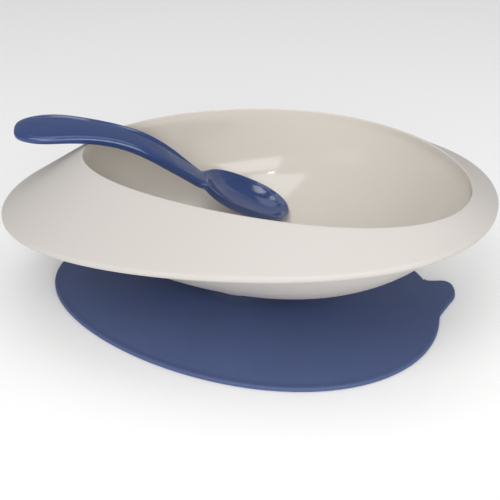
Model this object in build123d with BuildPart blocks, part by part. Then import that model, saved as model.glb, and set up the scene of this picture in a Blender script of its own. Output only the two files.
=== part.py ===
"""Suction bowl: a pebble-shaped feeding bowl, its suction pad with a pull tab, and a spoon.

Millimetres, +Z up.  The origin is on the table under the middle of the bowl, and +X runs
along the bowl towards its blunt end.  The pointed end, where the rim is widest, is at -X.
"""
from build123d import *
import os
from collections import namedtuple
from math import asin, atan, cos, hypot, pi, radians, sin

os.makedirs("parts", exist_ok=True)

# An outline is an ellipse with one blunt end: `blunt` widens the +X half, `lean` drops the
# +X end sideways, `bow` bends the long axis and `square` fills out the two ends.
Outline = namedtuple("Outline", "x y half_length half_width blunt lean bow square")

# ---- driving dimensions: bowl ----
RIM = Outline(0.0, 0.25, 105.0, 73.0, 0.05, -3.5, 6.0, 0.10)
CREST = Outline(12.7, 2.2, 81.5, 55.0, 0.12, -6.5, 9.5, 0.0)
CREST_HEIGHT = 66.0            # table to the top of the rim
RIM_FALL = 14.8                # top of the rim down to its outer edge, under the middle
RIM_RISE = 0.085               # the outer edge climbs this much for each mm of +X
BOWL_WALL = 2.5
CREST_LAND = 0.6               # narrow level strip along the top of the crest
RIM_DROP = 2.9                 # the rim's wall measured straight down
EDGE_DEPTH = 1.5               # height of the rim's turned outer edge
EDGE_ROUND = 0.65
EDGE_LIP = 0.6                 # the rim's underside starts this far in from its edge
HULL_RECESS = 2.0              # the basin's outside ends this far under the rim's top
BRIM_DEPTH = 4.0               # the basin's wall is upright down to here from the rim's top
BASIN_FULLNESS = 2.24          # 2 is an ellipse; more makes the wall steeper
BASIN_SHIFT = (-18.9, 2.2)     # how far the bottom lies from under the brim's middle
HULL_SHIFT = (-18.9, 0.6)      # the same for the basin's outside, fuller at the front
BASIN_SEAM = 0.3               # turn at which its outlines start, away from the rim's own start
# Levels of the basin's walls from brim to bottom, closer together where wall turns into floor.
BASIN_DROPS = (0.0, 0.25, 0.45, 0.62, 0.76, 0.87, 0.94, 0.98)

# ---- driving dimensions: foot and suction pad ----
FOOT_RADIUS = 16.5
FOOT_BASE = 7.2                # underside of the bowl's foot
FOOT_STAND = 3.0               # the foot stands out this far under the basin
SOCKET_RADIUS = 11.5
SOCKET_DEPTH = 3.2
PAD = Outline(-0.5, -1.7, 88.0, 66.4, 0.13, -6.7, 0.8, 0.0)
PAD_EDGE = 1.8                 # thickness of the pad's thin edge
BOSS_SHARE = 0.34              # the pad's raised middle, as a share of its outline
SHOULDER_SHARE = 0.70
SHOULDER_HEIGHT = 4.3
SEAL_WIDTH = 13.0              # flat band that seals on the table
CAVITY_DEPTH = 1.6             # hollow of the suction cup
CAVITY_ROOF_SHARE = 0.80
PAD_TRIM = (24.0, 112.0)       # cut that takes the pad's edge away beyond the tab's root

# ---- driving dimensions: pull tab ----
TAB_ANGLE = 14.0               # direction that the tab's root faces, from +X
TAB_INSET = 5.0                # the root line lies this far in from the pad's own length
TAB_REACH = 12.0               # root line to the tip
TAB_SIDE = -0.3                # straight side, measured along the root line
TAB_WIDTH = 28.0               # the whole root
TAB_TIP_WIDTH = 12.0
TAB_THICKNESS = 1.8
TAB_CORNER = 5.0
TAB_ROOT_ROUND = 0.88          # just under half the thickness

# ---- driving dimensions: spoon, in its own frame: X from handle to tip, Z up ----
SPOON_REST = (3.5, 4.9, 2.8)   # the handle's middle line, from the basin's -X brim
SPOON_YAW = 19.9               # direction of the spoon seen from above
SCOOP_LIE = 0.3227             # height of the basin's wall under the scoop, as a share of its depth
SPOON_ROLL = 11.5              # and leans to the front, as the floor does there
# Along the handle: distance, height, width, thickness.
HANDLE_STATIONS = (
    (-32.6, -13.9, 6.0, 2.4),
    (-28.5, -11.7, 15.0, 4.2),
    (-22.0, -8.3, 21.0, 4.8),
    (-14.0, -4.3, 20.5, 5.0),
    (-6.0, -1.1, 18.0, 5.2),
    (4.0, 1.7, 15.6, 5.4),
    (14.0, 3.2, 15.4, 5.6),
    (24.0, 2.9, 16.0, 5.6),
    (34.0, 0.9, 15.0, 5.6),
    (41.0, -0.9, 12.6, 5.3),
    (47.0, -1.9, 10.4, 5.0),
    (57.0, -4.2, 9.0, 4.0),
)
HANDLE_ROUNDING = 0.45         # corner radius, as a share of the thickness
SCOOP = Outline(0.0, 0.0, 21.7, 12.8, 0.0, 0.0, 0.0, 0.18)
SCOOP_MIDDLE = (74.4, -0.9)    # along the spoon, and the height of the scoop's brim
SCOOP_TILT = 0.5               # the brim rises a little towards the tip
SCOOP_DEPTH = 7.2
SCOOP_WALL = 1.7
SCOOP_DROPS = (0.0, 0.3, 0.55, 0.75, 0.9, 0.98)

# ---- clearances ----
RUNNING_FIT = 0.08             # pad plug in the foot's socket, all round
SEAT_GAP = 0.10                # pad boss under the foot
HINGE_GAP = 0.15               # pull tab's root beside the pad

OUTLINE_POINTS = 24

# ---- heights and places that follow from these ----
rim_height = CREST_HEIGHT - RIM_FALL
basin_brim = CREST_HEIGHT - BRIM_DEPTH
basin_bottom = FOOT_BASE + FOOT_STAND
floor_height = basin_bottom + BOWL_WALL
tab_root = PAD.half_length - TAB_INSET
spoon_rest = (
    CREST.x - CREST.half_length + SPOON_REST[0],
    CREST.y + SPOON_REST[1],
    CREST_HEIGHT + SPOON_REST[2],
)


def outline_points(shape, inset=0.0, share=1.0, start=0.0):
    """Points round one outline, drawn in by `inset` and scaled by `share` about its middle."""
    points = []
    for step in range(OUTLINE_POINTS):
        turn = 2 * pi * (step / OUTLINE_POINTS + start)
        c, s = cos(turn), sin(turn)
        half_length = shape.half_length - inset
        half_width = shape.half_width - inset
        x = half_length * share * c
        y = half_width * share * s * (1 + shape.blunt * c + shape.square * c * c)
        y += share * (shape.lean * c - shape.bow * c * c)
        points.append((shape.x + x, shape.y + y))
    return points


def loft_outlines(sections, ruled=True):
    """A solid through smooth closed curves, given as (plane, points) from one end to the other."""
    with BuildPart() as solid:
        for plane, points in sections:
            with BuildSketch(plane):
                with BuildLine():
                    Spline(*points, periodic=True)
                make_face()
        loft(ruled=ruled)
    return solid.part


def basin_share(drop):
    """Size of the basin's outline at `drop`, 0 at its brim and 1 at its bottom."""
    return (1 - drop ** BASIN_FULLNESS) ** (1 / BASIN_FULLNESS)


def basin_outline(drop, shift):
    """The basin's outline at `drop`, moved towards the bottom's middle."""
    return CREST._replace(x=CREST.x + shift[0] * drop, y=CREST.y + shift[1] * drop)


def rim_plane(lower):
    """The tilted plane of the rim's outer edge, moved straight down by `lower`."""
    return Plane(origin=(0, 0, rim_height - lower), x_dir=(1, 0, RIM_RISE), z_dir=(-RIM_RISE, 0, 1))


def filled_basin(wall_inset, bottom, top, shift):
    """The filled basin, from `top` down to a small flat at `bottom`."""
    sections = [(Plane.XY.offset(top), outline_points(CREST, wall_inset, 1.0, BASIN_SEAM))]
    for drop in BASIN_DROPS:
        height = basin_brim - drop * (basin_brim - bottom)
        points = outline_points(basin_outline(drop, shift), wall_inset, basin_share(drop), BASIN_SEAM)
        sections.append((Plane.XY.offset(height), points))
    return loft_outlines(sections[::-1])


def filled_skirt(lower, edge_inset):
    """The filled cone under the rim's slope, moved down by `lower`, its edge drawn in."""
    crest = (Plane.XY.offset(CREST_HEIGHT - lower), outline_points(CREST))
    edge = (rim_plane(lower), outline_points(RIM, edge_inset))
    return loft_outlines([edge, crest])


# ---- bowl: basin, sloping rim and foot in one moulding ----
with BuildPart() as bowl:
    add(filled_skirt(0, 0))
    with BuildSketch(rim_plane(0)):
        with BuildLine():
            Spline(*outline_points(RIM), periodic=True)
        make_face()
    extrude(amount=-EDGE_DEPTH)
    edge_outlines = bowl.edges().sort_by(SortBy.LENGTH)[-2:]
    fillet(edge_outlines, EDGE_ROUND)
    add(filled_skirt(RIM_DROP, EDGE_LIP), mode=Mode.SUBTRACT)
    add(filled_basin(CREST_LAND - BOWL_WALL, basin_bottom, CREST_HEIGHT - HULL_RECESS, HULL_SHIFT))
    with BuildSketch(Plane.XY.offset(FOOT_BASE)):
        Circle(FOOT_RADIUS)
    extrude(amount=FOOT_STAND + 3 * BOWL_WALL)
    hollow_top = CREST_HEIGHT + BOWL_WALL
    add(filled_basin(CREST_LAND, floor_height, hollow_top, BASIN_SHIFT), mode=Mode.SUBTRACT)
    with BuildSketch(Plane.XY.offset(FOOT_BASE)):
        Circle(SOCKET_RADIUS)
    extrude(amount=SOCKET_DEPTH, mode=Mode.SUBTRACT)
bowl.part.label = "bowl"
export_step(bowl.part, "parts/bowl.step")


# ---- suction pad: thin sealing edge, domed middle, plug for the foot, hollow underside ----
tab_frame = Plane(
    origin=(tab_root * cos(radians(TAB_ANGLE)), tab_root * sin(radians(TAB_ANGLE)), 0),
    x_dir=(cos(radians(TAB_ANGLE)), sin(radians(TAB_ANGLE)), 0),
    z_dir=(0, 0, 1),
)
boss_height = FOOT_BASE - SEAT_GAP
dome = loft_outlines([
    (Plane.XY.offset(PAD_EDGE / 2), outline_points(PAD, PAD_EDGE)),
    (Plane.XY.offset(SHOULDER_HEIGHT), outline_points(PAD, 0, SHOULDER_SHARE)),
    (Plane.XY.offset(boss_height), outline_points(PAD, 0, BOSS_SHARE)),
])
cavity = loft_outlines([
    (Plane.XY.offset(-PAD_EDGE), outline_points(PAD, SEAL_WIDTH - PAD_EDGE)),
    (Plane.XY.offset(CAVITY_DEPTH), outline_points(PAD, SEAL_WIDTH, CAVITY_ROOF_SHARE)),
])
with BuildPart() as suction_pad:
    with BuildSketch():
        with BuildLine():
            Spline(*outline_points(PAD), periodic=True)
        make_face()
    extrude(amount=PAD_EDGE)
    add(dome)
    with BuildSketch(Plane.XY.offset(boss_height)):
        Circle(SOCKET_RADIUS - RUNNING_FIT)
    extrude(amount=SOCKET_DEPTH)
    add(cavity, mode=Mode.SUBTRACT)
    with BuildSketch(tab_frame):
        with Locations((-TAB_THICKNESS / 2 - HINGE_GAP, 0)):
            Rectangle(*PAD_TRIM, align=(Align.MIN, Align.CENTER))
    extrude(amount=PAD_EDGE * 2, both=True, mode=Mode.SUBTRACT)
suction_pad.part.label = "suction_pad"
export_step(suction_pad.part, "parts/suction_pad.step")


# ---- pull tab: its root is round, so that it bends up about the root line ----
with BuildPart() as pull_tab:
    with BuildSketch(tab_frame):
        with BuildLine():
            Polyline(
                (-TAB_THICKNESS / 2, TAB_SIDE - TAB_WIDTH),
                (TAB_REACH, TAB_SIDE - TAB_TIP_WIDTH),
                (TAB_REACH, TAB_SIDE),
                (-TAB_THICKNESS / 2, TAB_SIDE),
                close=True,
            )
        make_face()
    extrude(amount=TAB_THICKNESS)
    outward = Axis(tab_frame.origin, tab_frame.x_dir)
    tip_corners = pull_tab.edges().filter_by(Axis.Z).sort_by(outward)[-2:]
    fillet(tip_corners, TAB_CORNER)
    root_edges = pull_tab.edges().filter_by(Axis.Z, reverse=True).sort_by(outward)[0:2]
    fillet(root_edges, TAB_ROOT_ROUND)
pull_tab.part.label = "pull_tab"
export_step(pull_tab.part, "parts/pull_tab.step")


# ---- spoon: arched handle and scoop in one moulding ----
brim = Plane(
    origin=(SCOOP_MIDDLE[0], 0, SCOOP_MIDDLE[1]),
    x_dir=(cos(radians(SCOOP_TILT)), 0, sin(radians(SCOOP_TILT))),
    z_dir=(-sin(radians(SCOOP_TILT)), 0, cos(radians(SCOOP_TILT))),
)


def filled_scoop(inset, depth, lift):
    """The filled scoop, from `lift` above its brim down to `depth` below it."""
    sections = [(brim.offset(lift), outline_points(SCOOP, inset))] if lift else []
    for drop in SCOOP_DROPS:
        share = (1 - drop ** 2) ** 0.5
        sections.append((brim.offset(-depth * drop), outline_points(SCOOP, inset, share)))
    return loft_outlines(sections[::-1])


with BuildPart() as loose_spoon:
    for step, (along, height, width, thickness) in enumerate(HANDLE_STATIONS):
        before = HANDLE_STATIONS[max(step - 1, 0)]
        after = HANDLE_STATIONS[min(step + 1, len(HANDLE_STATIONS) - 1)]
        heading = (after[0] - before[0], 0, after[1] - before[1])
        with BuildSketch(Plane(origin=(along, 0, height), x_dir=(0, 1, 0), z_dir=heading)):
            RectangleRounded(width, thickness, thickness * HANDLE_ROUNDING)
    loft()
    add(filled_scoop(0, SCOOP_DEPTH, 0))
    add(filled_scoop(SCOOP_WALL, SCOOP_DEPTH - SCOOP_WALL, 2 * SCOOP_WALL), mode=Mode.SUBTRACT)

yaw = radians(SPOON_YAW)
wall_under_scoop = floor_height + SCOOP_LIE * (basin_brim - floor_height)
scoop_reach = hypot(SCOOP_MIDDLE[0], SCOOP_DEPTH)
dive = asin((spoon_rest[2] - wall_under_scoop) / scoop_reach) - atan(SCOOP_DEPTH / SCOOP_MIDDLE[0])
spoon_place = Plane(
    origin=spoon_rest,
    x_dir=(cos(yaw) * cos(dive), sin(yaw) * cos(dive), -sin(dive)),
    z_dir=(cos(yaw) * sin(dive), sin(yaw) * sin(dive), cos(dive)),
)
with BuildPart() as spoon:
    add(spoon_place.from_local_coords(loose_spoon.part.rotate(Axis.X, SPOON_ROLL)))
spoon.part.label = "spoon"
export_step(spoon.part, "parts/spoon.step")
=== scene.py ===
"""Looks of a suction bowl: a pebble-shaped bowl with a glossy basin, its pad and a spoon.

Everything is in metres, in the part's own frame: +Z up, the origin on the table under the
middle of the bowl, +X along the bowl towards its blunt end.
"""

import logging
from dataclasses import dataclass, field
from enum import Enum
from math import atan2, copysign, cos, pi, radians, sin, sqrt

import bmesh
import bpy
from mathutils import Matrix, Vector


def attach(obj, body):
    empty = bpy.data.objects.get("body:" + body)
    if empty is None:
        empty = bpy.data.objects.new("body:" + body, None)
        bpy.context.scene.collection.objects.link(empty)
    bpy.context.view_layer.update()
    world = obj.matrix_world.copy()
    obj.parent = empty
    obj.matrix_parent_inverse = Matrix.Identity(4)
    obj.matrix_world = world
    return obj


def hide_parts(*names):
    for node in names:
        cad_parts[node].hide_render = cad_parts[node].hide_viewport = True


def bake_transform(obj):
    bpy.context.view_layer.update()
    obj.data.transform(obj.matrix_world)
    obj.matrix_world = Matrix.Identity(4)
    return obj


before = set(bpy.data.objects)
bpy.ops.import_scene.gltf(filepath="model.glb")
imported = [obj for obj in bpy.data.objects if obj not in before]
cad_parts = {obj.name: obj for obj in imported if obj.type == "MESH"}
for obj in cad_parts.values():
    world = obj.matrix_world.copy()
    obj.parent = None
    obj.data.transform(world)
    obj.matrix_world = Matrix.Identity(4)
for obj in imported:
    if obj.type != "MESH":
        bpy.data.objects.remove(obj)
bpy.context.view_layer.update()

MM = 0.001
log = logging.getLogger("suction_bowl")

Ring = list[Vector]


class SpoonFace(Enum):
    """The two faces of the scoop."""

    HOLLOW = "hollow"
    UNDERSIDE = "underside"


# ---------------------------------------------------------------- outlines


@dataclass(frozen=True)
class PebbleOutline:
    """An ellipse with one blunt end, in millimetres, seen from above.

    `blunt` widens the +X half, `lean` drops the +X end sideways, `bow` bends the long axis
    and `square` fills out the two ends.
    """

    x: float
    y: float
    half_length: float
    half_width: float
    blunt: float = 0.0
    lean: float = 0.0
    bow: float = 0.0
    square: float = 0.0

    def at(self, turn: float, inset: float = 0.0, share: float = 1.0) -> Vector:
        """One point of the outline.

        Args:
            turn: angle round the outline, in radians.
            inset: how far the outline is drawn in.
            share: scale about the outline's middle.

        Returns:
            The point, in millimetres, with height 0.
        """
        c, s = cos(turn), sin(turn)
        x = (self.half_length - inset) * share * c
        width = (self.half_width - inset) * share
        y = width * s * (1 + self.blunt * c + self.square * c * c)
        y += share * (self.lean * c - self.bow * c * c)
        return Vector((self.x + x, self.y + y, 0.0))

    def moved(self, shift: tuple[float, float], share: float) -> "PebbleOutline":
        """The same outline with its middle moved by `share` of `shift`."""
        return PebbleOutline(
            self.x + shift[0] * share,
            self.y + shift[1] * share,
            self.half_length,
            self.half_width,
            self.blunt,
            self.lean,
            self.bow,
            self.square,
        )


# ---------------------------------------------------------------- modelling by rings


class RingModeller:
    """Models a closed shell by extruding one ring of edges again and again."""

    def __init__(self, name: str, count: int) -> None:
        """Starts the shell.

        Args:
            name: name of the finished piece.
            count: number of points in every ring.
        """
        self.name = name
        self.count = count
        self.place: dict[tuple[int, int, int], int] = {}

    @staticmethod
    def key(point: Vector) -> tuple[int, int, int]:
        """A point's place as whole hundredths of a micrometre."""
        return tuple(round(value * 1e8) for value in point)

    def start(self, points: Ring) -> None:
        """Adds the first ring as a circle and moves it onto `points`."""
        bpy.ops.object.select_all(action="DESELECT")
        bpy.ops.mesh.primitive_circle_add(vertices=self.count, radius=1.0, fill_type="NOTHING")
        bpy.context.object.name = self.name
        bpy.ops.object.mode_set(mode="EDIT")
        bpy.ops.mesh.select_all(action="SELECT")
        mesh = bmesh.from_edit_mesh(bpy.context.object.data)
        for number, vertex in enumerate(mesh.verts):
            vertex.co = points[number]
        self.place = {self.key(p): n for n, p in enumerate(points)}
        bmesh.update_edit_mesh(bpy.context.object.data)

    def extrude(self, points: Ring, slot: int = 0) -> None:
        """Extrudes the last ring to `points`; the new band of faces takes material `slot`."""
        bpy.ops.mesh.extrude_region_move()
        mesh = bmesh.from_edit_mesh(bpy.context.object.data)
        picked = [v for v in mesh.verts if v.select]
        order = {self.place[self.key(v.co)]: v for v in picked}
        for number, point in enumerate(points):
            order[number].co = point
        self.place = {self.key(p): n for n, p in enumerate(points)}
        for vertex in picked:
            for face in vertex.link_faces:
                face.material_index = slot
                face.smooth = True
        bmesh.update_edit_mesh(bpy.context.object.data)

    def close(self, slot: int = 0) -> None:
        """Closes the last ring to a point at its middle."""
        bpy.ops.mesh.extrude_region_move()
        mesh = bmesh.from_edit_mesh(bpy.context.object.data)
        for vertex in mesh.verts:
            if vertex.select:
                for face in vertex.link_faces:
                    face.material_index = slot
        bmesh.update_edit_mesh(bpy.context.object.data)
        bpy.ops.mesh.merge(type="CENTER")

    def done(self) -> bpy.types.Object:
        """Leaves edit mode with all faces pointing outwards, and returns the piece."""
        bpy.ops.mesh.select_all(action="SELECT")
        bpy.ops.mesh.normals_make_consistent(inside=False)
        bpy.ops.mesh.select_all(action="DESELECT")
        bpy.ops.object.mode_set(mode="OBJECT")
        piece = bpy.context.object
        bpy.ops.object.shade_smooth()
        return piece


def close_first_ring(piece: bpy.types.Object, slot: int = 0) -> None:
    """Closes the open ring that a shell was started from, with a fan to its middle."""
    bpy.ops.object.select_all(action="DESELECT")
    piece.select_set(True)
    bpy.context.view_layer.objects.active = piece
    bpy.ops.object.mode_set(mode="EDIT")
    bpy.ops.mesh.select_all(action="DESELECT")
    bpy.ops.mesh.select_mode(type="EDGE")
    bpy.ops.mesh.select_non_manifold()
    bpy.ops.mesh.extrude_region_move()
    bpy.ops.mesh.merge(type="CENTER")
    bpy.ops.mesh.select_mode(type="VERT")
    bpy.ops.mesh.select_all(action="SELECT")
    bpy.ops.mesh.normals_make_consistent(inside=False)
    bpy.ops.mesh.select_all(action="DESELECT")
    bpy.ops.object.mode_set(mode="OBJECT")
    bpy.ops.object.shade_smooth()


# ---------------------------------------------------------------- finishes


def new_group(
    name: str, inputs: list[tuple[str, str, object]], outputs: list[tuple[str, str]]
) -> tuple[bpy.types.ShaderNodeTree, bpy.types.Node, bpy.types.Node]:
    """An empty shader node group with its sockets.

    Args:
        name: name of the group.
        inputs: name, socket type and default of each input.
        outputs: name and socket type of each output.

    Returns:
        The group and its input and output nodes.
    """
    group = bpy.data.node_groups.new(name, "ShaderNodeTree")
    for label, kind, default in inputs:
        socket = group.interface.new_socket(name=label, in_out="INPUT", socket_type=kind)
        if default is not None:
            socket.default_value = default
    for label, kind in outputs:
        group.interface.new_socket(name=label, in_out="OUTPUT", socket_type=kind)
    return group, group.nodes.new("NodeGroupInput"), group.nodes.new("NodeGroupOutput")


def moulded_surface_group() -> bpy.types.ShaderNodeTree:
    """The group for moulded plastic and silicone: uneven tone, uneven gloss, fine grain."""
    colour, value = "NodeSocketColor", "NodeSocketFloat"
    group, given, result = new_group(
        "moulded_surface",
        [
            ("Light Tone", colour, (0.8, 0.8, 0.8, 1)),
            ("Dark Tone", colour, (0.7, 0.7, 0.7, 1)),
            ("Tone Scale", value, 18.0),
            ("Grain Scale", value, 2600.0),
            ("Smooth Roughness", value, 0.3),
            ("Rough Roughness", value, 0.5),
            ("Waviness", value, 0.2),
        ],
        [("Color", colour), ("Roughness", value), ("Height", value)],
    )
    nodes, link = group.nodes, group.links.new
    where = nodes.new("ShaderNodeTexCoord")
    tone = nodes.new("ShaderNodeTexNoise")
    tone.inputs["Detail"].default_value = 4.0
    link(where.outputs["Object"], tone.inputs["Vector"])
    link(given.outputs["Tone Scale"], tone.inputs["Scale"])
    mix = nodes.new("ShaderNodeMix")
    mix.data_type = "RGBA"
    link(tone.outputs["Fac"], mix.inputs["Factor"])
    link(given.outputs["Dark Tone"], mix.inputs["A"])
    link(given.outputs["Light Tone"], mix.inputs["B"])
    link(mix.outputs["Result"], result.inputs["Color"])
    grain = nodes.new("ShaderNodeTexNoise")
    grain.inputs["Detail"].default_value = 3.0
    link(where.outputs["Object"], grain.inputs["Vector"])
    link(given.outputs["Grain Scale"], grain.inputs["Scale"])
    spread = nodes.new("ShaderNodeMapRange")
    link(grain.outputs["Fac"], spread.inputs["Value"])
    spread.inputs["From Min"].default_value = 0.3
    spread.inputs["From Max"].default_value = 0.7
    link(given.outputs["Smooth Roughness"], spread.inputs["To Min"])
    link(given.outputs["Rough Roughness"], spread.inputs["To Max"])
    link(spread.outputs["Result"], result.inputs["Roughness"])
    waves = nodes.new("ShaderNodeTexNoise")
    waves.inputs["Detail"].default_value = 1.0
    waves.inputs["Scale"].default_value = 45.0
    link(where.outputs["Object"], waves.inputs["Vector"])
    height = nodes.new("ShaderNodeMath")
    height.operation = "MULTIPLY_ADD"
    link(waves.outputs["Fac"], height.inputs[0])
    link(given.outputs["Waviness"], height.inputs[1])
    link(grain.outputs["Fac"], height.inputs[2])
    link(height.outputs["Value"], result.inputs["Height"])
    return group


@dataclass(frozen=True)
class MouldedFinish:
    """A moulded finish: its tones as linear colours, and how glossy and grainy it is."""

    name: str
    light: tuple[float, float, float]
    dark: tuple[float, float, float]
    smooth: float
    rough: float
    tone_scale: float = 18.0
    grain_scale: float = 2600.0
    grain_depth: float = 0.02
    waviness: float = 0.2
    coat: float = 0.0
    coat_roughness: float = 0.05
    specular: float = 0.5
    ior: float = 1.49

    def material(self, group: bpy.types.ShaderNodeTree) -> bpy.types.Material:
        """The finish as a material.

        Args:
            group: the shared group for moulded surfaces.

        Returns:
            The new material.
        """
        material = bpy.data.materials.new(self.name)
        material.use_nodes = True
        nodes, link = material.node_tree.nodes, material.node_tree.links.new
        shader = nodes["Principled BSDF"]
        surface = nodes.new("ShaderNodeGroup")
        surface.node_tree = group
        surface.inputs["Light Tone"].default_value = (*self.light, 1.0)
        surface.inputs["Dark Tone"].default_value = (*self.dark, 1.0)
        surface.inputs["Tone Scale"].default_value = self.tone_scale
        surface.inputs["Grain Scale"].default_value = self.grain_scale
        surface.inputs["Smooth Roughness"].default_value = self.smooth
        surface.inputs["Rough Roughness"].default_value = self.rough
        surface.inputs["Waviness"].default_value = self.waviness
        link(surface.outputs["Color"], shader.inputs["Base Color"])
        link(surface.outputs["Roughness"], shader.inputs["Roughness"])
        bump = nodes.new("ShaderNodeBump")
        bump.inputs["Strength"].default_value = self.grain_depth
        bump.inputs["Distance"].default_value = 0.001
        link(surface.outputs["Height"], bump.inputs["Height"])
        link(bump.outputs["Normal"], shader.inputs["Normal"])
        shader.inputs["IOR"].default_value = self.ior
        shader.inputs["Specular IOR Level"].default_value = self.specular
        shader.inputs["Coat Weight"].default_value = self.coat
        shader.inputs["Coat Roughness"].default_value = self.coat_roughness
        return material


CREAM_SATIN = MouldedFinish(
    "cream_satin_plastic", (0.535, 0.505, 0.48), (0.51, 0.48, 0.45), 0.42, 0.56, grain_depth=0.05
)
# Polished cream of the basin: the same plastic as outside, with its colour painted lighter to stand
# in for light in the deep, shaded basin. The polish itself is real.
CREAM_POLISHED_PAINTED_LIGHT = MouldedFinish(
    "cream_polished_plastic_painted_light",
    (0.655, 0.615, 0.56),
    (0.63, 0.59, 0.53),
    0.10,
    0.17,
    grain_scale=900.0,
    grain_depth=0.006,
    waviness=1.6,
    coat=0.25,
    specular=0.4,
)
SLATE_SILICONE = MouldedFinish(
    "slate_silicone",
    (0.072, 0.102, 0.225),
    (0.060, 0.086, 0.190),
    0.48,
    0.68,
    tone_scale=30.0,
    grain_depth=0.06,
    specular=0.3,
)
BLUE_POLISHED = MouldedFinish(
    "blue_polished_plastic",
    (0.016, 0.045, 0.165),
    (0.013, 0.037, 0.136),
    0.12,
    0.20,
    grain_scale=1500.0,
    grain_depth=0.012,
    waviness=0.8,
    coat=0.5,
)


# ---------------------------------------------------------------- bowl


@dataclass
class Bowl:
    """The bowl: basin, sloping rim, turned edge and foot. Sizes are in millimetres."""

    rim: PebbleOutline = PebbleOutline(0.0, 0.25, 105.0, 73.0, 0.05, -3.5, 6.0, 0.10)
    crest: PebbleOutline = PebbleOutline(12.7, 2.2, 81.5, 55.0, 0.12, -6.5, 9.5)
    crest_height: float = 66.0
    rim_height: float = 51.2
    rim_rise: float = 0.085
    wall: float = 2.5
    crest_land: float = 0.6
    crest_round: float = 0.9
    rim_drop: float = 2.9
    edge_depth: float = 1.5
    edge_round: float = 0.7
    edge_lip: float = 0.8
    basin_brim: float = 62.0
    basin_bottom: float = 10.2
    fullness: float = 2.24
    basin_shift: tuple[float, float] = (-18.9, 2.2)
    hull_shift: tuple[float, float] = (-18.9, 0.4)
    foot_radius: float = 16.5
    foot_base: float = 7.2
    foot_fillet: float = 2.0
    socket_radius: float = 11.5
    socket_depth: float = 3.2
    around: int = 256
    wall_steps: int = 30
    slope_steps: int = 6
    round_steps: int = 5

    def ring(self, outline: PebbleOutline, inset: float, share: float, height: float) -> Ring:
        """A level ring of the given outline, in metres."""
        points = []
        for step in range(self.around):
            point = outline.at(2 * pi * step / self.around, inset, share)
            points.append(Vector((point.x, point.y, height)) * MM)
        return points

    def circle(self, radius: float, height: float) -> Ring:
        """A level circle about the origin, in metres."""
        return self.ring(PebbleOutline(0.0, 0.0, radius, radius), 0.0, 1.0, height)

    def rim_ring(self, inset: float, lower: float) -> Ring:
        """A ring of the rim's outer edge, in its tilted plane.

        Args:
            inset: how far the ring is drawn in from the rim's outline.
            lower: how far it is moved down.

        Returns:
            The ring's points, in metres.
        """
        length = sqrt(1 + self.rim_rise ** 2)
        points = []
        for step in range(self.around):
            point = self.rim.at(2 * pi * step / self.around, inset)
            x = point.x / length
            height = self.rim_height + self.rim_rise * x - lower
            points.append(Vector((x, point.y, height)) * MM)
        return points

    def between(self, first: Ring, second: Ring, share: float, rise: float = 0.0) -> Ring:
        """A ring part of the way from one to the other, lifted by `rise` millimetres."""
        lift = Vector((0.0, 0.0, rise * MM))
        return [a.lerp(b, share) + lift for a, b in zip(first, second)]

    def basin_ring(self, angle: float, hull: bool) -> Ring:
        """A ring of the basin's wall.

        Args:
            angle: 0 at the brim and a quarter turn at the bottom's middle.
            hull: True for the basin's outside, False for its inside.

        Returns:
            The ring's points, in metres.
        """
        inset = self.crest_land - self.wall if hull else self.crest_land
        bottom = self.basin_bottom if hull else self.basin_bottom + self.wall
        shift = self.hull_shift if hull else self.basin_shift
        power = 2 / self.fullness
        drop = max(sin(angle), 0.0) ** power
        share = max(cos(angle), 0.0) ** power
        height = self.basin_brim - drop * (self.basin_brim - bottom)
        return self.ring(self.crest.moved(shift, drop), inset, share, height)

    def rounded(
        self, maker: RingModeller, corner: Ring, before: Ring, after: Ring, slot: int
    ) -> None:
        """Extrudes a rounded corner from `before` by way of `corner` to `after`."""
        for step in range(1, self.round_steps + 1):
            t = step / self.round_steps
            ring = []
            for a, c, b in zip(before, corner, after):
                ring.append(a * (1 - t) ** 2 + c * (2 * t * (1 - t)) + b * t ** 2)
            maker.extrude(ring, slot)

    def toward(self, start: Ring, end: Ring, distance: float) -> Ring:
        """Points at `distance` millimetres from `start` on the way to `end`."""
        return [a + (b - a).normalized() * (distance * MM) for a, b in zip(start, end)]

    def build(self) -> bpy.types.Object:
        """Models the whole bowl as one closed shell, from the socket out and over the rim in.

        Returns:
            The bowl.
        """
        maker = RingModeller("bowl_shell", self.around)
        outer_inset = self.crest_land - self.wall
        ceiling = self.foot_base + self.socket_depth
        socket_corner = self.circle(self.socket_radius, ceiling)
        maker.start(self.circle(2.0, ceiling))
        for radius in (6.0, 10.0, self.socket_radius - 0.5):
            maker.extrude(self.circle(radius, ceiling))
        maker.extrude(socket_corner)
        maker.extrude(self.circle(self.socket_radius, self.foot_base + 0.5))
        mouth = self.circle(self.socket_radius, self.foot_base)
        self.rounded(
            maker,
            mouth,
            self.circle(self.socket_radius, self.foot_base + 0.5),
            self.circle(self.socket_radius + 0.5, self.foot_base),
            0,
        )
        maker.extrude(self.circle(self.foot_radius - 0.8, self.foot_base))
        self.rounded(
            maker,
            self.circle(self.foot_radius, self.foot_base),
            self.circle(self.foot_radius - 0.8, self.foot_base),
            self.circle(self.foot_radius, self.foot_base + 0.8),
            0,
        )
        # The foot runs into the basin's outside with a small fillet.
        first = 0.0
        for step in range(self.wall_steps, 0, -1):
            angle = pi / 2 * step / self.wall_steps
            if cos(angle) ** (2 / self.fullness) * self.crest.half_width > self.foot_radius + 9:
                first = angle
                break
        wall_start = self.basin_ring(first, True)
        level = self.circle(self.foot_radius + self.foot_fillet, self.basin_bottom + 0.6)
        self.rounded(
            maker,
            self.circle(self.foot_radius, self.basin_bottom + 0.2),
            self.circle(self.foot_radius, self.foot_base + 0.8),
            level,
            0,
        )
        maker.extrude(self.between(level, wall_start, 0.5, -0.35))
        maker.extrude(wall_start)
        steps = [pi / 2 * s / self.wall_steps for s in range(self.wall_steps, -1, -1)]
        for angle in [a for a in steps if a < first]:
            maker.extrude(self.basin_ring(angle, True))

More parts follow.
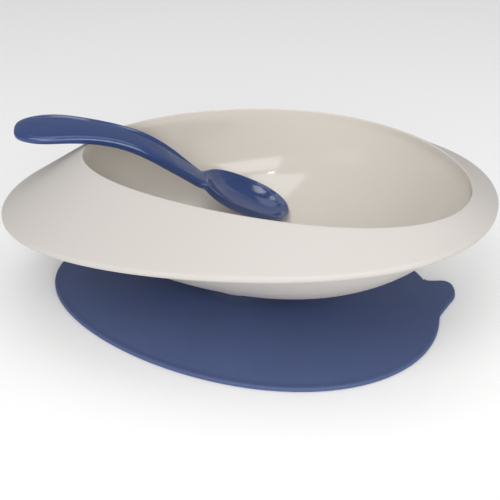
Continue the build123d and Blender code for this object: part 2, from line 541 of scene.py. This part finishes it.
        # Underside of the rim, down to its turned edge.
        root = self.ring(self.crest, outer_inset, 1.0, self.crest_height - self.rim_drop)
        lip = self.rim_ring(self.edge_lip, self.rim_drop)
        under_start = self.toward(root, lip, 2.0)
        self.rounded(
            maker,
            self.toward(root, lip, 0.4),
            self.basin_ring(0.0, True),
            under_start,
            0,
        )
        for step in range(1, self.slope_steps + 1):
            maker.extrude(self.between(under_start, lip, step / self.slope_steps * 0.985))
        edge_low = self.rim_ring(0.0, self.edge_depth)
        edge_top = self.rim_ring(0.0, 0.0)
        self.rounded(
            maker,
            self.between(lip, edge_low, 0.5, -0.15),
            self.between(under_start, lip, 0.985),
            self.toward(edge_low, lip, 0.4),
            0,
        )
        low_turn = self.toward(edge_low, edge_top, 0.4)
        self.rounded(maker, edge_low, self.toward(edge_low, lip, 0.4), low_turn, 0)
        side_top = self.toward(edge_top, edge_low, self.edge_round)
        maker.extrude(side_top)

        # Over the edge and up the slope to the crest.
        crest_top = self.ring(self.crest, 0.0, 1.0, self.crest_height)
        slope_foot = self.toward(edge_top, crest_top, self.edge_round * 1.6)
        self.rounded(maker, edge_top, side_top, slope_foot, 0)
        slope_end = self.toward(crest_top, edge_top, 1.2)
        for step in range(1, self.slope_steps + 1):
            maker.extrude(self.between(slope_foot, slope_end, step / self.slope_steps))
        land = self.ring(self.crest, self.crest_land * 0.5, 1.0, self.crest_height)
        self.rounded(maker, crest_top, slope_end, land, 0)
        brim = self.ring(self.crest, self.crest_land, 1.0, self.crest_height)
        wall_top = self.ring(self.crest, self.crest_land, 1.0, self.crest_height - self.crest_round)
        self.rounded(maker, brim, land, wall_top, 1)
        maker.extrude(self.ring(self.crest, self.crest_land, 1.0, self.basin_brim + 1.2), 1)

        # Down the basin's wall and across its floor.
        for step in range(0, self.wall_steps):
            angle = pi / 2 * step / self.wall_steps
            maker.extrude(self.basin_ring(angle, False), 1)
        maker.close(1)
        piece = maker.done()
        close_first_ring(piece)
        return piece

    def dress(self, piece: bpy.types.Object, group: bpy.types.ShaderNodeTree) -> None:
        """Gives the bowl its two finishes: satin outside, polished in the basin, whose cream is
        painted lighter to stand in for light in the shaded basin.
        """
        piece.data.materials.append(CREAM_SATIN.material(group))
        piece.data.materials.append(CREAM_POLISHED_PAINTED_LIGHT.material(group))
        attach(piece, "shell")
        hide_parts("bowl")


# ---------------------------------------------------------------- pad and tab


@dataclass
class SuctionPad:
    """The suction pad and its pull tab, one silicone moulding. Sizes are in millimetres."""

    outline: PebbleOutline = PebbleOutline(-0.5, -1.7, 88.0, 66.4, 0.13, -6.7, 0.8)
    edge: float = 1.8
    hem: float = 0.45
    seal_width: float = 13.0
    cavity_depth: float = 1.6
    cavity_share: float = 0.80
    shoulder_share: float = 0.70
    shoulder_height: float = 4.3
    boss_share: float = 0.34
    boss_height: float = 7.1
    plug_radius: float = 11.42
    plug_depth: float = 3.2
    tab_angle: float = 14.0
    tab_root: float = 83.0
    tab_reach: float = 12.0
    tab_side: float = -0.3
    tab_width: float = 28.0
    tab_tip_width: float = 12.0
    pebble_points: int = 220
    tab_points: int = 64
    corner_cuts: int = 4
    turns: list[float] = field(default_factory=list)
    tab_edge: list[Vector] = field(default_factory=list)

    def tab_frame(self) -> tuple[Vector, Vector]:
        """Outward direction of the tab, and the direction along its root."""
        angle = radians(self.tab_angle)
        return Vector((cos(angle), sin(angle), 0.0)), Vector((-sin(angle), cos(angle), 0.0))

    def lay_out(self) -> None:
        """Finds where the tab's root meets the pad's outline, and draws the tab's edge."""
        out, along = self.tab_frame()
        low = self.turn_at_side(self.tab_side - self.tab_width)
        high = self.turn_at_side(self.tab_side)
        for step in range(self.tab_points):
            self.turns.append(low + (high - low) * step / self.tab_points)
        for step in range(self.pebble_points):
            self.turns.append(high + (low + 2 * pi - high) * step / self.pebble_points)
        tip = self.tab_root + self.tab_reach
        corners = [
            self.outline.at(low - 0.035),
            self.outline.at(low),
            out * (self.tab_root + 6.0) + along * (self.tab_side - self.tab_width * 0.70),
            out * tip + along * (self.tab_side - self.tab_tip_width),
            out * tip + along * self.tab_side,
            out * (self.tab_root + 1.0) + along * self.tab_side,
            self.outline.at(high + 0.03),
        ]
        for _ in range(self.corner_cuts):
            corners = self.cut_corners(corners)
        self.tab_edge = self.evenly(corners, self.tab_points + 1)

    def turn_at_side(self, side: float) -> float:
        """The turn at which the pad's outline is `side` along the tab's root."""
        _, along = self.tab_frame()
        low, high = -pi / 2, pi / 2
        for _ in range(40):
            middle = (low + high) / 2
            if self.outline.at(middle).dot(along) < side:
                low = middle
            else:
                high = middle
        return low

    @staticmethod
    def cut_corners(points: list[Vector]) -> list[Vector]:
        """One round of corner cutting, which makes a line of straight runs rounder."""
        made = [points[0]]
        for a, b in zip(points, points[1:]):
            made.append(a.lerp(b, 0.25))
            made.append(a.lerp(b, 0.75))
        made.append(points[-1])
        return made

    @staticmethod
    def evenly(points: list[Vector], count: int) -> list[Vector]:
        """`count` points at equal distances along a line."""
        lengths = [0.0]
        for a, b in zip(points, points[1:]):
            lengths.append(lengths[-1] + (b - a).length)
        made = []
        number = 0
        for step in range(count):
            reach = lengths[-1] * step / (count - 1)
            while number < len(points) - 2 and lengths[number + 1] < reach:
                number += 1
            span = max(lengths[number + 1] - lengths[number], 1e-9)
            made.append(points[number].lerp(points[number + 1], (reach - lengths[number]) / span))
        return made

    def ring(
        self, inset: float, share: float, height: float, tab: float = 0.0, draw: float = 0.0
    ) -> Ring:
        """A ring of the pad.

        Args:
            inset: how far it is drawn in from the pad's outline.
            share: scale about the outline's middle.
            height: its height.
            tab: how much of the tab it takes in, from 0 at the root to 1 at the tab's edge.
            draw: how far it is drawn in from the tab's edge.

        Returns:
            The ring's points, in metres.
        """
        out, along = self.tab_frame()
        middle = out * (self.tab_root + self.tab_reach * 0.3)
        middle += along * (self.tab_side - self.tab_width * 0.42)
        points = []
        for number, turn in enumerate(self.turns):
            point = self.outline.at(turn, inset, share)
            if number < self.tab_points and tab > 0:
                edge = self.tab_edge[number]
                edge = edge + (middle - edge).normalized() * draw
                point = point.lerp(edge, tab)
            points.append(Vector((point.x, point.y, height)) * MM)
        return points

    def circle(self, radius: float, height: float) -> Ring:
        """A level circle about the origin, in metres, its points at the pad's turns."""
        made = []
        for turn in self.turns:
            made.append(Vector((radius * cos(turn), radius * sin(turn), height)) * MM)
        return made

    def build(self) -> bpy.types.Object:
        """Models pad and tab as one closed shell, from the hollow under it out and over.

        Returns:
            The pad.
        """
        self.lay_out()
        maker = RingModeller("silicone_pad", len(self.turns))
        seal, hem = self.seal_width, self.hem
        maker.start(self.ring(seal, 0.06, self.cavity_depth))
        for share in (0.2, 0.4, 0.6, self.cavity_share - 0.02):
            maker.extrude(self.ring(seal, share, self.cavity_depth))
        maker.extrude(self.ring(seal, self.cavity_share + 0.02, self.cavity_depth - 0.15))
        for inset, height in ((seal + 3.0, 0.55), (seal + 0.8, 0.12), (seal, 0.0), (seal - 3, 0.0)):
            maker.extrude(self.ring(inset, 1.0, height))
        for inset, tab in ((6.0, 0.0), (2.0, 0.0), (1.4, 0.25), (1.0, 0.5), (0.7, 0.75), (hem, 1.0)):
            maker.extrude(self.ring(inset, 1.0, 0.0, tab, hem))
        half = self.edge / 2
        for step in range(1, 6):
            angle = pi / 2 * step / 5
            inset = hem * (1 - sin(angle))
            maker.extrude(self.ring(inset, 1.0, hem * (1 - cos(angle)), 1.0, inset))
        for step in range(0, 5):
            angle = pi / 2 * step / 4
            inset = half * (1 - cos(angle))
            maker.extrude(self.ring(inset, 1.0, self.edge - half * (1 - sin(angle)), 1.0, inset))
        for inset, tab in ((1.2, 0.8), (1.6, 0.6), (2.0, 0.4), (2.4, 0.2), (2.9, 0.0)):
            maker.extrude(self.ring(inset, 1.0, self.edge, tab, half))
        # The dome rises from the thin edge to the boss under the foot.
        dome = (
            (0.94, 2.05),
            (0.90, 2.45),
            (0.84, 3.05),
            (0.77, 3.70),
            (self.shoulder_share, self.shoulder_height),
            (0.60, 5.05),
            (0.50, 5.85),
            (0.42, 6.50),
            (0.37, 6.90),
            (self.boss_share, self.boss_height),
            (self.boss_share - 0.03, self.boss_height),
        )
        for share, height in dome:
            maker.extrude(self.ring(0.0, share, height))
        top = self.boss_height + self.plug_depth
        for radius, height in (
            (self.plug_radius + 1.5, self.boss_height),
            (self.plug_radius, self.boss_height),
            (self.plug_radius, top - 0.5),
            (self.plug_radius - 0.5, top),
            (7.0, top),
            (3.0, top),
        ):
            maker.extrude(self.circle(radius, height))
        maker.close()
        piece = maker.done()
        close_first_ring(piece)
        return piece

    def dress(self, piece: bpy.types.Object, group: bpy.types.ShaderNodeTree) -> None:
        """Gives the pad its finish; the tab's root line is worked out but not used."""
        piece.data.materials.append(SLATE_SILICONE.material(group))
        out, along = self.tab_frame()
        root = out * self.tab_root + along * (self.tab_side - self.tab_width / 2)
        root.z = self.edge / 2
        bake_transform(piece)
        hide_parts("suction_pad", "pull_tab")


# ---------------------------------------------------------------- spoon


@dataclass(frozen=True)
class SpoonSection:
    """One section of the spoon, in its own frame, in millimetres."""

    along: float
    height: float
    width: float
    thickness: float
    recess: float = 0.0


@dataclass
class Spoon:
    """The spoon: arched handle with a recess, neck, and scoop with a stepped brim."""

    rest: tuple[float, float, float] = (-65.3, 7.1, 68.8)
    yaw: float = 19.9
    dive: float = 27.0
    roll: float = 11.5
    handle: tuple[SpoonSection, ...] = (
        SpoonSection(-32.8, -13.6, 4.0, 1.6),
        SpoonSection(-32.4, -13.4, 9.0, 2.6),
        SpoonSection(-31.0, -12.7, 13.4, 3.6),
        SpoonSection(-28.8, -11.6, 16.4, 4.3),
        SpoonSection(-25.5, -9.9, 19.2, 4.8, 0.5),
        SpoonSection(-22.0, -8.1, 20.6, 5.0, 1.0),
        SpoonSection(-18.0, -6.1, 20.8, 5.1, 1.0),
        SpoonSection(-14.0, -4.2, 19.8, 5.2, 1.0),
        SpoonSection(-6.0, -1.1, 17.2, 5.3, 1.0),
        SpoonSection(4.0, 1.7, 15.2, 5.4, 1.0),
        SpoonSection(14.0, 3.2, 15.2, 5.6, 1.0),
        SpoonSection(24.0, 2.9, 16.2, 5.6, 1.0),
        SpoonSection(34.0, 0.9, 15.0, 5.6, 1.0),
        SpoonSection(39.0, -0.4, 13.2, 5.4, 0.7),
        SpoonSection(43.5, -1.5, 11.8, 5.1, 0.3),
        SpoonSection(47.5, -2.5, 11.0, 4.8, 0.1),
        SpoonSection(50.5, -3.2, 10.9, 4.5),
    )
    scoop_middle: float = 74.4
    scoop_half_length: float = 21.8
    scoop_half_width: float = 12.9
    scoop_power: float = 2.35
    brim_height: float = -0.9
    brim_tilt: float = 0.5
    scoop_depth: float = 7.6
    scoop_lean: float = 0.14
    scoop_wall: float = 1.4
    brim_width: float = 0.13
    brim_top: float = 0.95
    brim_slope: float = 0.03
    brim_step: float = 0.9
    band_height: float = 2.0
    band_slope: float = 0.02
    underside_fullness: float = 2.6
    hollow_fullness: float = 2.8
    hollow_steepness: float = 0.72
    root_share: float = 0.45
    neck_width: float = 11.0
    neck_depth: float = 4.4
    across: int = 64
    scoop_steps: int = 26
    root_steps: float = 3.2
    tip_share: float = 0.9985
    side_fullness: float = 0.62
    face_fullness: float = 0.72
    recess_depth: float = 1.2
    recess_margin: float = 2.0
    recess_slope: float = 0.5

    def placed(self, point: Vector) -> Vector:
        """A point of the spoon's own frame, in millimetres, where the spoon lies, in metres."""
        roll, dive, yaw = radians(self.roll), radians(self.dive), radians(self.yaw)
        rolled = Matrix.Rotation(roll, 3, "X") @ point
        x_axis = Vector((cos(yaw) * cos(dive), sin(yaw) * cos(dive), -sin(dive)))
        z_axis = Vector((cos(yaw) * sin(dive), sin(yaw) * sin(dive), cos(dive)))
        y_axis = z_axis.cross(x_axis)
        where = x_axis * rolled.x + y_axis * rolled.y + z_axis * rolled.z + Vector(self.rest)
        return where * MM

    def handle_ring(self, section: SpoonSection, slope: float) -> Ring:
        """A ring of the handle, square to its line.

        Args:
            section: the handle's section.
            slope: direction of the handle's line there, in radians.

        Returns:
            The ring's points, in metres, starting at the +Y side and going over the top.
        """
        points = []
        for step in range(self.across):
            angle = 2 * pi * step / self.across
            c, s = cos(angle), sin(angle)
            across = copysign(abs(c) ** self.side_fullness, c) * section.width / 2
            up = copysign(abs(s) ** self.face_fullness, s) * section.thickness / 2
            if s > 0 and section.recess:
                inside = (section.width / 2 - self.recess_margin - abs(across)) / self.recess_slope
                up -= section.recess * self.recess_depth * min(max(inside, 0.0), 1.0)
            x = section.along - sin(slope) * up
            z = section.height + cos(slope) * up
            points.append(self.placed(Vector((x, across, z))))
        return points

    def scoop_ring(self, share: float) -> Ring:
        """A ring across the scoop.

        Args:
            share: place along the scoop, from -1 at its root to 1 at its tip.

        Returns:
            The ring's points, in metres, over the hollow first and back under the bottom.
        """
        power = self.scoop_power
        room = max(1 - abs(share) ** power, 0.0)
        scoop = self.scoop_half_width * room ** (1 / power)
        root = min(max((self.root_share - 1 - share) / self.root_share, 0.0), 1.0)
        root = root * root * (3 - 2 * root)
        half = (scoop ** 6 + (self.neck_width / 2 * root) ** 6) ** (1 / 6)
        x = self.scoop_half_length * share
        tilt = radians(self.brim_tilt)
        points = []
        for step in range(self.across):
            angle = 2 * pi * step / self.across
            c, s = cos(angle), sin(angle)
            across = c * half
            spread = abs(share) ** power + abs(across / self.scoop_half_width) ** power
            radius = min(spread, 1.0) ** (1 / power)
            if s >= 0:
                up = self.scoop_face(radius, share, SpoonFace.HOLLOW)
            else:
                own = self.scoop_face(radius, share, SpoonFace.UNDERSIDE)
                keel = self.neck_depth * root * abs(s) ** self.face_fullness
                up = -((own ** 4 + keel ** 4) ** 0.25)
            local = Vector((x * cos(tilt) - up * sin(tilt), across, x * sin(tilt) + up * cos(tilt)))
            points.append(self.placed(local + Vector((self.scoop_middle, 0.0, self.brim_height))))
        return points

    def scoop_face(self, radius: float, share: float, face: SpoonFace) -> float:
        """Height of the scoop's upper or lower face.

        Args:
            radius: share of the scoop's outline, 0 in the middle and 1 at the edge.
            share: place along the scoop, from -1 at its root to 1 at its tip.
            face: which of the two faces.

        Returns:
            The height above the brim, in millimetres.
        """
        deep = self.scoop_depth * (1 + self.scoop_lean * share)
        if face is SpoonFace.UNDERSIDE:
            band = self.band_height
            rounding = sqrt(max(1 - radius ** self.underside_fullness, 0.0))
            return -band * min((1 - radius) / self.band_slope, 1.0) - (deep - band) * rounding
        floor = 1 - self.brim_width
        if radius > self.brim_top:
            return 0.0
        if radius > floor:
            return -self.brim_step * min((self.brim_top - radius) / self.brim_slope, 1.0)
        depth = deep - self.scoop_wall - self.brim_step
        hollow = (1 - (radius / floor) ** self.hollow_fullness) ** self.hollow_steepness
        return -self.brim_step - depth * hollow

    def slopes(self) -> list[float]:
        """Direction of the handle's line at each of its sections, in radians."""
        made = []
        for number in range(len(self.handle)):
            before = self.handle[max(number - 1, 0)]
            after = self.handle[min(number + 1, len(self.handle) - 1)]
            made.append(atan2(after.height - before.height, after.along - before.along))
        return made

    def build(self) -> bpy.types.Object:
        """Models the spoon as one closed shell from the handle's end to the scoop's tip.

        Returns:
            The spoon.
        """
        maker = RingModeller("feeding_spoon", self.across)
        slopes = self.slopes()
        maker.start(self.handle_ring(self.handle[0], slopes[0]))
        for section, slope in zip(self.handle[1:], slopes[1:]):
            maker.extrude(self.handle_ring(section, slope))
        last = self.handle_ring(self.handle[-1], slopes[-1])
        turns = self.scoop_steps + self.root_steps
        shares = [-cos(pi * (step + self.root_steps) / turns) for step in range(self.scoop_steps)]
        shares.append(self.tip_share)
        first = self.scoop_ring(shares[0])
        maker.extrude([a.lerp(b, 0.5) for a, b in zip(last, first)])
        for share in shares:
            maker.extrude(self.scoop_ring(share))
        maker.close()
        piece = maker.done()
        close_first_ring(piece)
        smooth = piece.modifiers.new("rounding", "SUBSURF")
        smooth.levels = 2
        smooth.render_levels = 2
        bpy.ops.object.modifier_apply(modifier=smooth.name)
        return piece

    def dress(self, piece: bpy.types.Object, group: bpy.types.ShaderNodeTree) -> None:
        """Gives the spoon its polished finish."""
        piece.data.materials.append(BLUE_POLISHED.material(group))
        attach(piece, "feeder")
        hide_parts("spoon")


# ---------------------------------------------------------------- studio


@dataclass(frozen=True)
class SoftLight:
    """A rectangular light that faces a point."""

    name: str
    place: tuple[float, float, float]
    aim: tuple[float, float, float]
    size: tuple[float, float]
    power: float

    def add(self) -> None:
        """Puts the light into the scene."""
        data = bpy.data.lights.new(self.name, "AREA")
        data.shape = "RECTANGLE"
        data.size, data.size_y = self.size
        data.energy = self.power
        lamp = bpy.data.objects.new(self.name, data)
        lamp.location = self.place
        facing = Vector(self.aim) - Vector(self.place)
        lamp.rotation_euler = facing.to_track_quat("-Z", "Y").to_euler()
        bpy.context.scene.collection.objects.link(lamp)


@dataclass
class Studio:
    """Camera, pale floor and soft lights."""

    azimuth: float = 10.0
    elevation: float = 30.0
    distance: float = 0.400
    target: tuple[float, float, float] = (0.005, -0.0115, 0.028)
    lens: float = 67.4
    world: float = 0.42
    lights: tuple[SoftLight, ...] = (
        SoftLight("key", (-0.25, -0.75, 1.05), (0.0, 0.0, 0.03), (0.70, 0.70), 4.5),
        SoftLight("front", (0.30, -1.10, 0.42), (0.0, 0.0, 0.03), (1.20, 0.60), 8.0),
        SoftLight("top_fill", (0.15, 0.10, 1.25), (0.0, 0.0, 0.0), (1.10, 1.10), 4.0),
        SoftLight("window", (-0.66, -0.60, 0.13), (0.040, 0.050, 0.052), (0.36, 0.50), 0.35),
        SoftLight("side", (0.45, -0.52, 0.54), (-0.03, 0.0, 0.04), (0.35, 0.20), 0.7),
        SoftLight("bulb", (-0.15, -0.67, 0.52), (0.004, 0.051, 0.036), (0.035, 0.035), 0.12),
    )

    def build(self) -> None:
        """Adds camera, floor, world light and lamps."""
        turn, rise = radians(self.azimuth), radians(self.elevation)
        back = Vector((sin(turn) * cos(rise), -cos(turn) * cos(rise), sin(rise)))
        data = bpy.data.cameras.new("camera")
        data.lens = self.lens
        data.sensor_width = 36.0
        data.clip_start = 0.01
        camera = bpy.data.objects.new("camera", data)
        camera.location = Vector(self.target) + back * self.distance
        camera.rotation_euler = (-back).to_track_quat("-Z", "Y").to_euler()
        bpy.context.scene.collection.objects.link(camera)
        bpy.context.scene.camera = camera
        self.floor()
        world = bpy.data.worlds.new("studio")
        world.use_nodes = True
        world.node_tree.nodes["Background"].inputs["Color"].default_value = (1.0, 1.0, 1.0, 1.0)
        world.node_tree.nodes["Background"].inputs["Strength"].default_value = self.world
        bpy.context.scene.world = world
        for light in self.lights:
            light.add()
        bpy.context.scene.view_settings.view_transform = "Standard"

    def floor(self) -> None:
        """Adds a plain pale floor."""
        bpy.ops.object.select_all(action="DESELECT")
        bpy.ops.mesh.primitive_plane_add(size=6.0, location=(0.0, 0.0, -0.0002))
        floor = bpy.context.object
        floor.name = "floor"
        material = bpy.data.materials.new("pale_floor")
        material.use_nodes = True
        shader = material.node_tree.nodes["Principled BSDF"]
        shader.inputs["Base Color"].default_value = (0.93, 0.93, 0.93, 1.0)
        shader.inputs["Roughness"].default_value = 0.9
        floor.data.materials.append(material)


def main() -> None:
    """Builds every piece in order and reports it."""
    logging.basicConfig(level=logging.INFO, format="%(name)s: %(message)s")
    group = moulded_surface_group()
    for maker in (Bowl(), SuctionPad(), Spoon()):
        piece = maker.build()
        maker.dress(piece, group)
        log.info("%s: %d faces", piece.name, len(piece.data.polygons))
    Studio().build()


if __name__ == "__main__":
    main()
